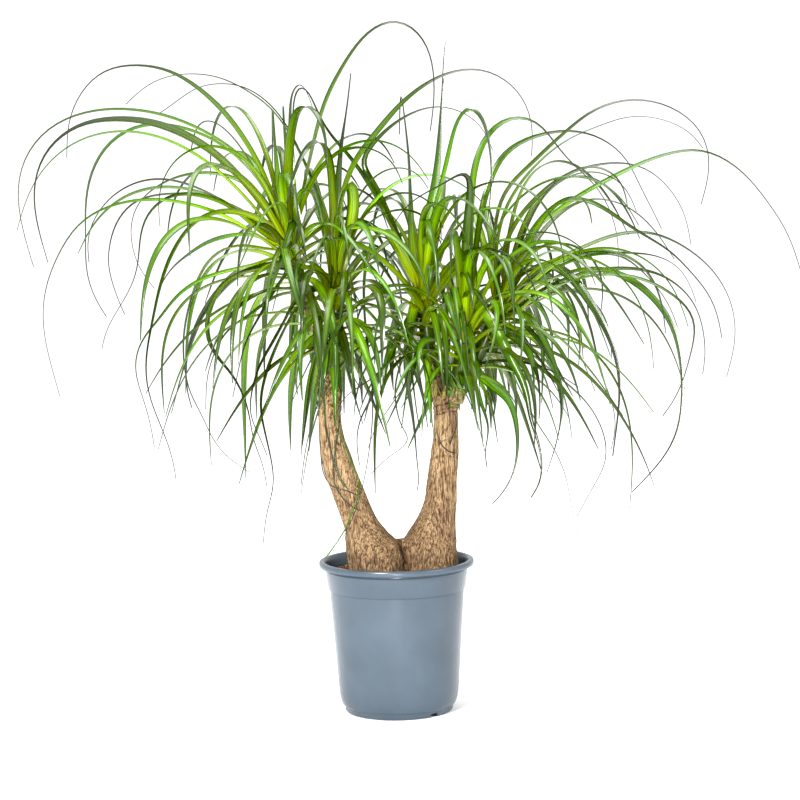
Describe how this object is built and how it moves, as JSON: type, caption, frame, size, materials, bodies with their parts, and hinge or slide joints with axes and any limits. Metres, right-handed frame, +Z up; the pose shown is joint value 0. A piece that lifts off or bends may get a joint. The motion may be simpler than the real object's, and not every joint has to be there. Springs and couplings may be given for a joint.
{
  "type": "potted ponytail palm",
  "caption": "Branched ponytail palm with a swollen lobed foot, tan corky stems and tufts of long arching strap leaves, in a round blue-grey nursery pot filled with soil.",
  "frame": {"origin": "middle of the pot's flat underside", "axes": "+Z up, the front seen in the picture faces -Y, +X to the right as seen from the front"},
  "size_m": [1.2062, 0.6271, 1.0577],
  "materials": {
    "pot": "satin moulded polypropylene, blue-grey",
    "soil": "moist peat and bark compost, crumbly",
    "bark": "rough cork-like bark with upright cracks",
    "leaf": "semi-gloss fresh leaf, lime at the foot and dark olive at the tip"
  },
  "bodies": {
    "root": {"pot": "pot", "soil": "soil", "trunk": "bark", "leaf_head_upper_left": "leaf", "leaf_head_left": "leaf", "leaf_head_middle": "leaf", "leaf_head_front": "leaf", "leaf_head_right": "leaf"}
  },
  "joints": []
}
